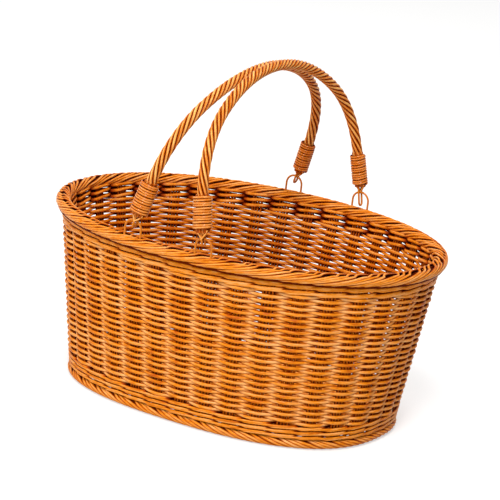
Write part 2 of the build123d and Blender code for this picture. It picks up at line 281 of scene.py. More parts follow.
def unit(vectors):
    """The vectors at length one."""
    return vectors / np.linalg.norm(vectors, axis=-1, keepdims=True)


def neighbours(lines, closed):
    """The points ahead of and behind each point; at the end of an open line that is the point itself."""
    if closed:
        return np.roll(lines, -1, axis=1), np.roll(lines, 1, axis=1)
    return (np.concatenate([lines[:, 1:], lines[:, -1:]], axis=1),
            np.concatenate([lines[:, :1], lines[:, :-1]], axis=1))


def ring_ways(along, sides, reference):
    """The ways out of each cane, at every side of every ring."""
    across = unit(np.cross(along, np.broadcast_to(np.asarray(reference, float), along.shape)))
    upright = np.cross(along, across)
    angles = 2 * math.pi * np.arange(sides) / sides
    return np.cos(angles)[:, None] * across[:, :, None] + np.sin(angles)[:, None] * upright[:, :, None]


def ring_faces(canes, points, sides, closed):
    """The faces from each ring to the next, and after them the flat ends of open canes."""
    rings = points if closed else points - 1
    first = (np.arange(canes)[:, None, None] * points + np.arange(rings)[None, :, None]) * sides
    after = (np.arange(canes)[:, None, None] * points + (np.arange(rings)[None, :, None] + 1) % points) * sides
    spoke = np.arange(sides)[None, None, :]
    turned_on = (spoke + 1) % sides
    quads = np.stack([first + spoke, first + turned_on, after + turned_on, after + spoke], axis=-1)
    faces = quads.reshape(-1, 4).tolist()
    if not closed:
        for cane in range(canes):
            start = cane * points * sides
            end = start + (points - 1) * sides
            faces.append([start + side for side in range(sides - 1, -1, -1)])
            faces.append([end + side for side in range(sides)])
    return faces


print("an open cane of three rings with eight sides has", len(ring_faces(1, 3, 8, False)), "faces")

# %% [markdown]
# The fibres need a map that runs along each cane without stretching, so U is the length along the line. Each cane
# starts at a place of its own, or all would show the same streaks.

# %% Map for the fibres


def fibre_corners(steps, starts, sides, rings):
    """U and V at the corners of the quads: U along the cane in centimetres, and V once round it."""
    canes = len(steps)
    length = np.concatenate([np.zeros((canes, 1)), np.cumsum(steps, axis=1)], axis=1) / 10
    near_u = np.broadcast_to((length[:, :rings] + starts)[:, :, None], (canes, rings, sides))
    far_u = np.broadcast_to((length[:, 1:rings + 1] + starts)[:, :, None], (canes, rings, sides))
    near_v = np.broadcast_to(np.arange(sides) / sides, near_u.shape)
    far_v = near_v + 1 / sides
    return np.stack([near_u, near_v, near_u, far_v, far_u, far_v, far_u, near_v], axis=-1).reshape(-1)


print("two steps of 10 mm end at U =", fibre_corners(np.array([[10.0, 10.0]]), 0.0, 8, 2)[-2])

# %% [markdown]
# A cane gets painted shade where it faces away from the open air or presses on its neighbours, where shade falls,
# and none towards the open air. Where it passes from one side of the stakes to the other it gets a painted
# highlight: that part is paler, and only the seams beside it carry painted shade. Where it faces the open air it
# can get a painted highlight too.

# %% Tone, painted shade and painted highlights
# How much the canes' own tone differs, the painted highlight at the bends, the softness of the painted shade, the
# painted shade in the seams beside the bends, and where the two painted highlights begin.
tone_spread, bend_highlight_gain = 0.5, 0.7
painted_shade_softness = 0.8
seam_shade_strength, seam_gain, seam_width = 0.75, 1.5, 0.7
bend_highlight_start, crest_start = 0.6, 0.75


def tone_and_painted_light(ring, own_tone, facing=None, crossing=0.0, dusk_span=(0.35, -0.5), two_sided=False, least_dusk=0.0,
          crest=0.0, outside=(0, 0, 0)):
    """Own tone with painted highlights, and painted shade, for every point of canes whose ways out are in ring.

    facing gives the way to the open air at each point. Towards it a cane gets no painted shade, and away from it
    painted shade grows over dusk_span, but never below least_dusk. The length of facing is less than 1 where a cane
    passes from one side to the other, and crossing says how much less painted shade the whole cane gets there, or
    more if it is below 0; above 0 it also pales that part with a painted highlight. A two_sided cane is unshaded
    both ways, and crest says how much painted highlight a cane gets where it faces the open air. outside is the way
    out of the basket: the painted highlight at the bends is palest towards it, and across it, where passing canes
    touch, painted shade darkens them.
    """
    way = np.zeros((1, 1, 3)) if facing is None else np.asarray(facing, float)
    way = np.broadcast_to(way, ring.shape[:2] + (3,))[:, :, None]
    bend = np.maximum(1 - np.linalg.norm(way, axis=-1), 0)
    bare = np.sum(ring * way, axis=-1)
    bare = np.abs(bare) if two_sided else bare
    proud = np.sum(ring * np.asarray(outside, float)[..., None, :], axis=-1)

    # Painted shade on the side of a cane turned away from the open air.
    hidden = np.clip((dusk_span[0] - bare - crossing * bend) / (dusk_span[0] - dusk_span[1]), 0, 1)
    # Painted shade in the seams where passing canes touch at the bends.
    seam_shade = (seam_shade_strength * np.minimum(seam_gain * bend, 1) * np.clip(1 - np.abs(proud) / seam_width, 0, 1)
             * np.any(outside))
    dusk = np.maximum(np.maximum(hidden ** painted_shade_softness * (facing is not None), least_dusk), seam_shade)

    # A painted highlight where a cane bends from one side to the other, palest towards the outside.
    bend_highlight = bend * np.clip(bend_highlight_start + proud, 0, 1) * (crossing > 0)
    # A painted highlight on the side of a cane that faces the open air.
    crown = np.clip((bare - crest_start) / (1 - crest_start), 0, 1)
    tone_and_highlight = own_tone + bend_highlight_gain * bend_highlight + crest * crown
    return (np.ascontiguousarray(np.broadcast_to(values, ring.shape[:3])) for values in (tone_and_highlight, dusk))


level_ring = ring_ways(np.array([[(1.0, 0.0, 0.0)]]), 4, (0, 0, 1))
print("dusk round a cane that faces down:", list(tone_and_painted_light(level_ring, 0.0, facing=(0, 0, -1)))[1].round(2).tolist())

# %% [markdown]
# One call of the next function makes one piece: rings along the lines, faces between them, the map for the fibres,
# the canes' own tone with painted highlights and their painted shade, and the material. At the end the piece is
# tied to the body that carries it.

# %% Turn lines into canes
smooth_angle = math.radians(50)


def lay_canes(name, lines, diameter, material, body, closed=False, sides=8, reference=(0, 0, 1), **stained):
    """Makes one object from lines of points in millimetres, all with as many points, as round canes.

    stained holds what the function for tone, painted shade and painted highlights is told about these canes.
    """
    lines = np.asarray(lines, float)
    canes, points = lines.shape[:2]
    ahead, behind = neighbours(lines, closed)
    ring = ring_ways(unit(ahead - behind), sides, reference)
    radius = np.broadcast_to(np.asarray(diameter, float) / 2, lines.shape[:2])[:, :, None, None]
    spots = (lines[:, :, None] + radius * ring) * mm
    mesh = bpy.data.meshes.new(name)
    mesh.from_pydata(spots.reshape(-1, 3).tolist(), [], ring_faces(canes, points, sides, closed))

    steps = np.linalg.norm(ahead - lines, axis=-1)
    starts = rng.uniform(0, 50, (canes, 1))
    corners = fibre_corners(steps, starts, sides, points if closed else points - 1)
    places = np.zeros(len(mesh.loops) * 2)
    places[:corners.size] = corners
    mesh.uv_layers.new(name="UVMap").data.foreach_set("uv", places)
    own_tone = tone_spread * rng.uniform(0, 1, (canes, 1, 1))
    for kind, values in zip(("tone_and_highlight", "dusk"), tone_and_painted_light(ring, own_tone, **stained)):
        mesh.attributes.new(kind, "FLOAT", "POINT").data.foreach_set("value", values.reshape(-1))

    made = bpy.data.objects.new(name, mesh)
    bpy.context.scene.collection.objects.link(made)
    mesh.materials.append(material)
    bpy.ops.object.select_all(action="DESELECT")
    made.select_set(True)
    bpy.context.view_layer.objects.active = made
    bpy.ops.object.shade_smooth_by_angle(angle=smooth_angle)
    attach(made, body)
    print(name, "canes", canes, "quads", corners.size // 8)
    return made


# %% [markdown]
# ## Places on the wall
#
# The wall is a ruled surface: each stake group runs straight from the oval of the foot to the wider oval of the
# mouth. A place on it is given by `turn`, counted in stake groups, and by its height. Whole numbers of `turn` fall
# on the stake groups.

# %% Wall helpers


def oval_points(half_length, half_width, fullness, angle):
    """Points of an oval; a fullness of 2 is an ellipse, more is squarer."""
    along, across = np.cos(angle), np.sin(angle)
    reach = (np.abs(along) ** fullness + np.abs(across) ** fullness) ** (-1 / fullness)
    return np.stack([half_length * along * reach, half_width * across * reach], axis=-1)


def wall_oval(share, inset):
    """Half length, half width and fullness of the wall at a share of its height, drawn in by inset."""
    low_length, low_width = foot_half_length - wall_inset_at_foot, foot_half_width - wall_inset_at_foot
    high_length, high_width = rim_half_length - wall_inset_at_rim, rim_half_width - wall_inset_at_rim
    return (low_length + share * (high_length - low_length) - inset,
            low_width + share * (high_width - low_width) - inset,
            foot_fullness + share * (rim_fullness - foot_fullness))


fine_angles = np.linspace(0, 2 * math.pi, 2881)
fine_points = oval_points(*wall_oval(0.5, wall_thickness / 2), fine_angles)
fine_lengths = np.concatenate([[0], np.cumsum(np.linalg.norm(np.diff(fine_points, axis=0), axis=1))])


def turn_angle(turn):
    """The oval's angle at a place that is counted in stake groups."""
    whole = np.floor((np.asarray(turn, float) + 0.5) / stake_groups)
    part = (np.asarray(turn, float) + 0.5) / stake_groups - whole
    return np.interp(part * fine_lengths[-1], fine_lengths, fine_angles) + 2 * math.pi * whole


def outward(angle, shape):
    """The level direction square to an oval at an angle, pointing outwards."""
    step = 1e-4
    way = oval_points(*shape, angle + step) - oval_points(*shape, angle - step)
    return unit(np.stack([way[..., 1], -way[..., 0]], axis=-1))


mid_wall = wall_oval(0.5, wall_thickness / 2)
# A cane that stands out of the wall also sags, by this share of how far it stands out.
droop = 0.09


def on_wall(turn, height, proud):
    """Points of the wall's middle surface at a height, standing out by proud."""
    angle = turn_angle(turn)
    height = np.broadcast_to(np.asarray(height, float), np.shape(angle))
    share = ((height - wall_foot_z) / (wall_top_z - wall_foot_z))[..., None]
    low_shape, high_shape = wall_oval(0, wall_thickness / 2), wall_oval(1, wall_thickness / 2)
    flat = (1 - share) * oval_points(*low_shape, angle) + share * oval_points(*high_shape, angle)
    flat = flat + outward(angle, mid_wall) * np.asarray(proud)[..., None]
    return np.concatenate([flat, (height - droop * np.asarray(proud))[..., None]], axis=-1)


print("group pitch at half height", round(fine_lengths[-1] / stake_groups, 2), "mm")

# %% [markdown]
# ## Side weave
#
# The wall is plain weaving, or randing: each row passes outside one stake group and inside the next, and the row
# above does the opposite. Seen straight on, the canes overlap, but they lie in level rows on a wall that leans, so
# from above or below small slits open beside the stakes. The line of a weaver is a wave round the wall, a little
# flattened where it lies against the stakes, and the cane is thinnest where it passes from one side to the other.

# %% Side weave
weave_rows = 44
float_cane, crossing_cane = 3.8, 3.0
flattening = 0.15
row_wander, float_looseness = 0.16, 0.06
points_per_group = 10
# How far a cane's middle lies from the middle of the wall as it passes a stake group.
wave_height = (stake + weaver) / 2
turns = np.arange(stake_groups * points_per_group) / points_per_group


def wave(phase):
    """A wave of height one with flattened tops."""
    return np.cos(phase) * (1 + flattening - flattening * np.cos(phase) ** 2)


def weave_line(row, height):
    """One weaver right round the wall, and the way to the open air along it."""
    wander = row_wander * np.sin(2 * math.pi * turns / stake_groups * rng.integers(2, 6) + any_start())
    loose = 1 + float_looseness * rng.standard_normal(stake_groups).repeat(points_per_group)
    side = wave(math.pi * (turns + row))
    return on_wall(turns, height + wander, wave_height * side * loose), side[:, None] * wall_outward


row_pitch = (weave_high[2] - weave_low[2]) / weave_rows
row_heights = weave_low[2] + (np.arange(weave_rows) + 0.5) * row_pitch
wall_outward = np.concatenate([outward(turn_angle(turns), mid_wall), np.zeros((len(turns), 1))], axis=1)
# Three bands, so that no piece is very large. A cane is thickest on a stake group and thins quickly beside it.
side_bands = {"lower": range(0, 15), "middle": range(15, 30), "upper": range(30, weave_rows)}
side_pieces = []
for band, rows in side_bands.items():
    lines, facing = zip(*[weave_line(row, row_heights[row]) for row in rows])
    swell = 0.3 * np.abs(wave(math.pi * turns)) + 0.7 * np.cos(math.pi * turns) ** 6
    thick = crossing_cane + (float_cane - crossing_cane) * np.array([swell] * len(rows))
    # The weavers get painted shade where they run behind the stakes and in the seams at the bends, and a painted
    # highlight at the bends, palest on the outside.
    side_pieces.append(lay_canes(
        "side_weave_" + band, lines, thick, woven_cane, "basket", closed=True, facing=facing, crossing=1.7,
        dusk_span=(0.45, -0.3), outside=wall_outward))
for piece in side_pieces:
    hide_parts("side_weave")
print("weave rows", weave_rows, "at", round(row_pitch, 2), "mm")

# %% [markdown]
# ## Waling
#
# Above the foot and under the rim the maker works three canes at once. Each goes outside two stake groups and
# inside one, and climbs a little while it is outside. That locks the stakes and shows as long slanting canes with
# a dark slot below each.

# %% Waling rows
dive_start, dive_length = 0.22, 0.5
climb_share, climb_overtone, climb_wander = 0.205, 0.35, 0.12


def wale_row(height, rise, row):
    """The three canes of one row of waling; each climbs while it runs outside, then dives behind a stake group."""
    lines, facing = [], []
    for partner in range(3):
        phase = (turns + partner + row) % 3
        outside = np.clip((np.minimum(phase, 3 - phase) - dive_start) / dive_length, 0, 1)
        side = 2 * outside * outside * (3 - 2 * outside) - 1
        climb = -rise * (np.sin(2 * math.pi * phase / 3) + climb_overtone * np.sin(4 * math.pi * phase / 3))
        climb = climb + climb_wander * np.sin(turns * 2 * math.pi / 9 + any_start())
        lines.append(on_wall(turns, height + climb, wave_height * side))
        facing.append(side[:, None] * wall_outward)
    return lines, facing


def waling(name, node, rows, diameter):
    """All rows of one band of waling as one piece."""
    low, high = box_mm(node)
    pitch = (high[2] - low[2]) / rows
    lines, facing = [], []
    for row in range(rows):
        row_lines, row_facing = wale_row(low[2] + (row + 0.5) * pitch, climb_share * pitch, row)
        lines += row_lines
        facing += row_facing
    # Painted shade where a cane runs behind or dives between the stakes, and a painted highlight on its open side.
    piece = lay_canes(name, lines, diameter, woven_cane, "basket", closed=True, facing=facing, crossing=-0.2,
                      dusk_span=(0.5, -0.25), crest=0.25)
    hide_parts(node)


waling("bottom_waling_canes", "bottom_waling", rows=3, diameter=2.7)
waling("top_waling_canes", "top_waling", rows=2, diameter=3.5)

# %% [markdown]
# ## Stakes
#
# The uprights stand in groups of four. They show as small dots of cane in the slits between the rows, so they
# are laid like the other canes, each a little off its place as no maker sets them quite evenly.

# %% Stakes
stake_spread = 3.0
visible_stake = 2.6
stakes_in_group = 4
stake_points = 13
stake_margin = 0.3
stake_slip, stake_sway, sway_length = 0.12, 0.15, 30


def stake_lines():
    """The rods of every group, each a little off its place."""
    lines, facing = [], []
    heights = np.linspace(wall_foot_z + stake_margin, wall_top_z - stake_margin, stake_points)
    for group in range(stake_groups):
        angle = turn_angle(np.full(stake_points, float(group)))
        middle = on_wall(np.full(stake_points, float(group)), heights, 0)
        side = outward(angle, mid_wall)
        along = np.concatenate([-side[:, 1:], side[:, :1], np.zeros((stake_points, 1))], axis=1)
        for member in range(stakes_in_group):
            place = (member - (stakes_in_group - 1) / 2) * stake_spread + rng.normal(0, stake_slip)
            place = place + stake_sway * np.sin(heights / sway_length + any_start())
            lines.append(middle + along * place[:, None])
            facing.append(np.concatenate([side, np.zeros((stake_points, 1))], axis=1))
    return lines, facing


lines, facing = stake_lines()
# Painted shade on both sides of each stake, in the valleys between the rods of a group; fronts and backs stay
# unshaded.
stake_canes = lay_canes("stake_canes", lines, visible_stake, stake_cane, "basket", reference=(0.3, 0.2, 0),
                        facing=facing, dusk_span=(1.05, 0.5), two_sided=True)
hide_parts("stakes")

# %% [markdown]
# ## Rolled borders
#
# At the rim, the four rods of each stake group are bent down and wrapped together round the edge, each group over
# the next, so the border looks like a flat rope with a long lay. Its line climbs the outer face, crosses the top
# in a shallow groove, and runs down the inside. The foot border is rolled the same way, more steeply.

# %% Rolls


def border_line(centre_shape, half_depth, half_height, middle_z, turn, lean):
    """Points on a border's roll, and the way out of it; lean is 0 outside and a quarter turn at the top."""
    angle = turn_angle(turn)
    sideways = outward(angle, centre_shape)
    across, upright = np.cos(lean), np.sin(lean)
    flat = oval_points(*centre_shape, angle) + sideways * (half_depth * across)[..., None]
    height = middle_z + half_height * upright
    facing = np.concatenate([sideways * across[..., None], upright[..., None]], axis=-1)
    return np.concatenate([flat, height[..., None]], axis=-1), facing


def core_lines(centre_shape, places):
    """Rings inside a border, at pairs of a distance outwards and a height."""
    angle = turn_angle(turns)
    flat = oval_points(*centre_shape, angle)
    sideways = outward(angle, centre_shape)
    return [np.concatenate([flat + sideways * across, np.full((len(turns), 1), height)], axis=1)
            for across, height in places]


print("a border line starts at", np.round(border_line((100, 80, 2), 6, 5, 10, np.zeros(1), np.zeros(1))[0], 1))

# %% [markdown]
# ## Rim border
#
# Three rods of each group show in the border. They come out under it, run up the outer face in a long slant, cross
# the top more squarely and dive behind the next groups inside. One more row of waling, called a follower, hides the
# line where they start. Round canes inside the roll stand for the rods' hidden ends, so nothing shows through.

# %% Rim border
rim_rod = 2.6
rim_border_depth = 14.5
rim_shape = (rim_half_length - rim_border_depth / 2, rim_half_width - rim_border_depth / 2, rim_fullness)
rim_middle_z = (rim_low[2] + rim_high[2]) / 2
rim_half_height = (rim_high[2] - rim_low[2]) / 2 - rim_rod / 2
rim_rods_in_group = 3
rim_lay = 3.9
rim_start, rim_end = -104, 236
rim_points = 61
follower_cane, follower_lift, follower_rise = 3.4, 2.4, 0.7
rim_core_cane = 3.2


def bell(angle, middle, width):
    """One at a middle angle and near zero further than its width away, all in degrees."""
    return np.exp(-((np.degrees(angle) - middle) / width) ** 2)


def rim_rods():
    """The rods of the rim, from under the roll outside to deep inside.

    pace says how fast a rod runs along the rim: fast low on the outer face, slow over the top. tuck pulls both ends
    into the roll, groove sinks the line along the top, and gather draws the rods of a group together.
    """
    lines, facing = [], []
    lean = np.radians(np.linspace(rim_start, rim_end, rim_points))
    pace = 1 + 0.7 * bell(lean, -15, 38) - 0.62 * bell(lean, 82, 30)
    travel = np.concatenate([[0], np.cumsum(pace[1:])]) / np.sum(pace[1:])
    share = np.linspace(0, 1, rim_points)
    tuck = 1 - 0.42 * np.clip(1 - np.minimum(share, 1 - share) / 0.1, 0, 1) ** 2
    groove = 1.2 * bell(lean, 72, 17)
    gather = 0.92 - 0.3 * bell(lean, -40, 22) - 0.2 * bell(lean, 78, 22) - 0.15 * bell(lean, 150, 25)
    for group in range(stake_groups):
        slack = rng.uniform(0, 2 * math.pi)
        for member in range(rim_rods_in_group):
            bunch = gather + 0.05 * np.sin(2.2 * lean + slack)
            sway = 0.03 * np.sin(3.1 * lean + any_start())
            turn = group + (member - 1) / rim_rods_in_group * bunch + travel * rim_lay + sway
            sunk = 1 - 0.09 * rng.uniform() * np.sin(2.0 * lean + any_start()) ** 2
            points, way = border_line(rim_shape, (rim_border_depth / 2 - rim_rod / 2) * tuck * sunk,
                                      rim_half_height * tuck, rim_middle_z, turn, lean)
            points[:, 2] -= groove
            lines.append(points)
            # Over the top of the roll the way out is shortened, so there the rods get less painted shade and a painted
            # highlight.
            facing.append(way * (1 - 0.55 * bell(lean, 62, 26))[:, None])
    return lines, facing


lines, facing = rim_rods()
# Painted shade where a rod turns away from the open air, and painted highlights over the top and on its open side.
rim_canes = lay_canes("rim_border_canes", lines, rim_rod, woven_cane, "basket", facing=facing, crossing=0.6,
                      dusk_span=(0.75, 0.0), crest=0.4)
lines, facing = wale_row(rim_low[2] + follower_lift, follower_rise, 1)
# The follower gets painted shade where it runs behind the stakes.
rim_follower = lay_canes("rim_border_follower", lines, follower_cane, woven_cane, "basket", closed=True,
                         facing=facing, dusk_span=(0.5, -0.25))
# Each core cane's distance outwards from the middle of the roll, and its height above the foot of the roll.
rim_core_places = [(across, rim_low[2] + height) for across, height in (
    (-3.4, 1.5), (0.0, 1.3), (3.4, 1.5), (-3.6, 5.0), (3.6, 5.0), (-2.0, 7.6), (2.0, 7.6), (0.0, 4.5))]
# The core canes are painted almost fully in shade, dark as the inside of the roll.
rim_core = lay_canes("rim_border_core", core_lines(rim_shape, rim_core_places), rim_core_cane, stake_cane, "basket",
                     closed=True, sides=6, least_dusk=0.9)
for piece in (rim_canes, rim_follower, rim_core):
    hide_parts("rim_border")

# %% [markdown]
# ## Foot border
#
# The basket stands on a second roll. Its rods start on top, wind round the outside and underneath and end inside,
# so from the side they look like a row of slanting wedges.

# %% Foot border
foot_rod = 3.4
foot_border_depth = 13.0
foot_shape = (foot_half_length - foot_border_depth / 2, foot_half_width - foot_border_depth / 2, foot_fullness)
foot_middle_z = (foot_low[2] + foot_high[2]) / 2
foot_half_height = (foot_high[2] - foot_low[2]) / 2 - foot_rod / 2
foot_rods_in_group = 3
foot_lay = 2.3
foot_start, foot_sweep = 95, 285
foot_points = 33
foot_core_cane = 2.6


def foot_rods():
    """The rods of the foot, from the top round the outside to the inside.

    tuck pulls both ends into the roll, and gather draws the rods of a group together near the top.
    """
    lines, facing = [], []
    share = np.linspace(0, 1, foot_points)
    lean = math.radians(foot_start) - share * math.radians(foot_sweep)
    tuck = 1 - 0.40 * np.clip(1 - np.minimum(share, 1 - share) / 0.12, 0, 1) ** 2
    gather = 1 - 0.35 * bell(lean, 75, 40)
    for rod_number in range(stake_groups * foot_rods_in_group):
        group, member = divmod(rod_number, foot_rods_in_group)
        loose = 0.02 * rng.standard_normal()
        turn = group + (member - 1) / foot_rods_in_group * gather + loose + share * foot_lay
        points, way = border_line(foot_shape, (foot_border_depth / 2 - foot_rod / 2) * tuck,
                                  foot_half_height * tuck, foot_middle_z, turn, lean)
        lines.append(points)
        facing.append(way)
    return lines, facing


lines, facing = foot_rods()
# Painted shade where a rod turns away from the open air, and a painted highlight on its open side.
foot_canes = lay_canes("foot_border_canes", lines, foot_rod, woven_cane, "basket", facing=facing,
                       dusk_span=(0.8, 0.2), crest=0.3)
# The same for the foot, where the roll starts on the ground.
foot_core_places = [(-2.6, 4.2), (0.0, 5.2), (2.6, 4.2), (2.2, 7.4), (-2.2, 7.4)]
# The foot's core canes are painted almost fully in shade too.
foot_core = lay_canes("foot_border_core", core_lines(foot_shape, foot_core_places), foot_core_cane, stake_cane,
                      "basket", closed=True, sides=6, least_dusk=0.9)
for piece in (foot_canes, foot_core):
    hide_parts("foot_border")

# %% [markdown]
# ## Floor
#
# The floor is a mat: weavers run the length of the basket, over and under groups of ribs that run across it.

# %% Floor mat
floor_low, floor_high = box_mm("floor_weave")
rib_spacing = 28.0
floor_rows = 82
floor_cane = 3.4
floor_middle_z = (floor_low[2] + floor_high[2]) / 2
floor_margin = 1.5
floor_half_length, floor_half_width = floor_high[0] - floor_margin, floor_high[1] - floor_margin
floor_points = 97


def floor_line(row):
    """One weaver of the mat, from one end of the oval floor to the other."""
    across = (2 * (row + 0.5) / floor_rows - 1) * (floor_half_width - floor_cane / 2)
    reach = (1 - (abs(across) / floor_half_width) ** foot_fullness) ** (1 / foot_fullness) * floor_half_length
    x = np.linspace(-reach, reach, floor_points)
    side = wave(math.pi * (x / rib_spacing + row))
    facing = np.stack([0 * side, 0 * side, side], axis=-1)
    return np.stack([x, np.full(floor_points, across), floor_middle_z + wave_height * side], axis=-1), facing


lines, facing = zip(*[floor_line(row) for row in range(floor_rows)])
# Painted shade on the side of each weaver that lies against the ribs, and a painted highlight at its bends.
floor_mat = lay_canes("floor_mat", lines, floor_cane, woven_cane, "basket", sides=6, facing=facing, crossing=0.5,
                      dusk_span=(0.45, -0.3))
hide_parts("floor_weave")

# %% [markdown]
# ## Handles
#
# Each handle is a hoop of seven canes twisted round a core, with a slower twist down the legs. The lines are wound
# round the hoop's middle line in the handle's own plane, which leans about the hinge that the frame gives.

# %% Handle plane and arch
hinges = {joint["child"]: joint for joint in frame["joints"]}
hoop_diameter, hoop_rise, leg_slope, crown_half_angle = 10.4, 151.5, math.radians(6), math.radians(35)
loop_inset = 7.5
loop_half_span = rim_half_width - loop_inset
binding_start, binding_length, bundle_offset = 15.0, 34.0, 1.0
hoop_cane = 3.15
# The two crowns lean together until they nearly touch, a little to one side of the basket's middle.
meeting_offset, crown_gap = 6.44, 0.3


def handle_axes(body):
    """Origin, across, up and sideways directions of a handle's plane, from its hinge and its lean."""
    origin = np.array(hinges[body]["pos_m"]) / mm
    side = math.copysign(1, origin[0])
    reach = abs(origin[0]) - (hoop_diameter + crown_gap) / 2 - side * meeting_offset
    lean = -side * math.asin(reach / hoop_rise)
    up = np.array((math.sin(lean), 0, math.cos(lean)))
    sideways = np.array((math.cos(lean), 0, -math.sin(lean)))
    return origin, np.array((0.0, 1.0, 0.0)), up, sideways


# An arch of three arcs: a flat crown and two rounder shoulders that meet the straight bindings. Two equations
# for its half width and its height give the two radii.
foot_u, foot_v = loop_half_span + bundle_offset, binding_start
top_u = foot_u - binding_length * math.sin(leg_slope)
top_v = foot_v + binding_length * math.cos(leg_slope)
leg_angle = math.pi / 2 - leg_slope
crown_sine, crown_drop = math.sin(crown_half_angle), 1 - math.cos(crown_half_angle)
shoulder_sine = math.sin(leg_angle) - crown_sine
shoulder_drop = math.cos(crown_half_angle) - math.cos(leg_angle)
shoulder_radius = (((hoop_rise - top_v) * crown_sine - top_u * crown_drop)
                   / (shoulder_drop * crown_sine - shoulder_sine * crown_drop))
crown_radius = (top_u - shoulder_radius * shoulder_sine) / crown_sine
print("hoop radii: crown", round(crown_radius, 1), "shoulder", round(shoulder_radius, 1))

# %% [markdown]
# The canes wind round that middle line as in a rope. A rope of real canes would be twisted first and bent after, so
# the lay is measured along the arch, and it gets longer towards the legs, where the twist was let out.

# %% Twisted hoops
hoop_canes = 7
hoop_points = 181
crown_lay, leg_lay_gain = 42, 50


def arch(angle):
    """Across and up on the hoop's middle line, at an angle from its crown."""
    size = np.abs(angle)
    crown_part = np.minimum(size, crown_half_angle)
    rest = np.maximum(size, crown_half_angle)
    u = crown_radius * np.sin(crown_part) + shoulder_radius * (np.sin(rest) - math.sin(crown_half_angle))
    v = (hoop_rise - crown_radius * (1 - np.cos(crown_part))
         - shoulder_radius * (math.cos(crown_half_angle) - np.cos(rest)))
    return np.sign(angle) * u, v


def hoop_lines(body):
    """The canes of one hoop and its core; both ends run on half way into the bindings."""
    origin, across, up, sideways = handle_axes(body)
    angle = np.linspace(-leg_angle, leg_angle, hoop_points)
    u, v = arch(angle)
    middle = origin + u[:, None] * across + v[:, None] * up
    straight = unit(middle[0] - middle[1]), unit(middle[-1] - middle[-2])
    sunk = np.linspace(binding_length / 2, 0, 9)[:-1, None]
    middle = np.concatenate([middle[0] + sunk * straight[0], middle, middle[-1] + sunk[::-1] * straight[1]])
    along = unit(np.gradient(middle, axis=0))
    inward = np.cross(along, sideways)
    steps = np.concatenate([[0], np.cumsum(np.linalg.norm(np.diff(middle, axis=0), axis=1))])
    centred = steps / steps[-1] * 2 - 1
    lay = crown_lay + leg_lay_gain * np.abs(centred) ** 1.5
    twist = -np.concatenate([[0], np.cumsum(2 * math.pi * np.diff(steps) / lay[1:])])
    radius = (hoop_diameter - hoop_cane) / 2
    lines, facing = [], []
    for cane in range(hoop_canes):
        round_angle = twist + 2 * math.pi * cane / hoop_canes
        way = np.cos(round_angle)[:, None] * sideways + np.sin(round_angle)[:, None] * inward
        lines.append(middle + radius * way)
        facing.append(way)
    lines.append(middle)
    # The core's way out is nought, so it is painted fully in shade.
    facing.append(middle * 0)
    return lines, facing, sideways


handles = (("left_handle", "left"), ("right_handle", "right"))
for body, side in handles:
    lines, facing, sideways = hoop_lines(body)
    # Painted shade in the grooves between the twisted canes, and a painted highlight on each cane's open side.
    piece = lay_canes(side + "_hoop_canes", lines, hoop_cane, handle_cane, body, reference=sideways, sides=10,
                      facing=facing, dusk_span=(0.7, 0.2), crest=0.75)
    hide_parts(side + "_hoop")

# %% [markdown]
# ## Bindings
#
# At each end the hoop's canes are doubled back and bound with a finer cane, wound tightly a dozen times. The short
# ends of the doubled canes show above and below the binding. Below it, four fine canes close in like straps on the
# eye that hangs from the handle.

# %% Bundles and bindings
binding_turns, binding_wire, seat_gap, binding_margin = 12, 2.0, 0.3, 1.0
bundle_depth = 11.0
bundle_widths = {"near": 14.0, "far": 11.0}
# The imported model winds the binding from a 2 mm cane; here it is a little thicker, so that the turns touch.
fine_cane = 2.45
winding_points, winding_wander, winding_tilt = 24, 0.25, 0.3
bundle_canes, bundle_cane, strap_cane = 12, 2.6, 2.0
# Every second end stands a little deeper in the bundle; these are shares of its half width and half depth.
bundle_places = (0.72, 0.78)
# Each strap: its start across the bundle as a share of the width, its start through the bundle, and its drop.
straps_of_bundle = ((-0.46, 1.8, 7.6), (-0.28, -2.6, 6.4), (0.46, -1.6, 7.0), (0.3, 2.6, 5.4))


def bundle_frame(body, face):
    """The foot of a hoop's end, the way up it, and the two ways across it."""
    origin, across, up, sideways = handle_axes(body)
    foot = origin + face * foot_u * across + foot_v * up
    top = origin + face * top_u * across + top_v * up
    rise = unit(top - foot)
    return foot, rise, sideways, np.cross(rise, sideways)


def binding_line(body, face, width):
    """The winding of one binding round its bundle."""
    foot, rise, sideways, deep = bundle_frame(body, face)
    half_width = width / 2 + seat_gap + binding_wire / 2
    half_depth = bundle_depth / 2 + seat_gap + binding_wire / 2
    turn = np.linspace(0, 2 * math.pi * binding_turns, winding_points * binding_turns + 1)
    height = binding_margin + binding_wire / 2 + turn / turn[-1] * (binding_length - 2 * binding_margin - binding_wire)
    height = height + winding_wander * np.sin(turn / 2.7 + any_start()) + winding_tilt * np.sin(turn + any_start())
    way = np.cos(turn)[:, None] * sideways + np.sin(turn)[:, None] * deep
    return (foot + height[:, None] * rise + (half_width * np.cos(turn))[:, None] * sideways
            + (half_depth * np.sin(turn))[:, None] * deep), way, rise


def bundle_lines(body, face, width):
    """Short doubled ends that fill the bundle and stand out of it at both ends."""
    foot, rise, sideways, deep = bundle_frame(body, face)
    lines = []
    share = np.linspace(0, 1, 5)
    for cane in range(bundle_canes):
        angle = 2 * math.pi * cane / bundle_canes
        out = bundle_places[cane % 2]
        spot = foot + width / 2 * out * math.cos(angle) * sideways + bundle_depth / 2 * out * math.sin(angle) * deep
        low = -0.2 - rng.uniform(0, 1.0)
        high = binding_length + rng.uniform(-0.5, 1.2)
        lines.append(spot + (low + share * (high - low))[:, None] * rise)
    return lines, sideways


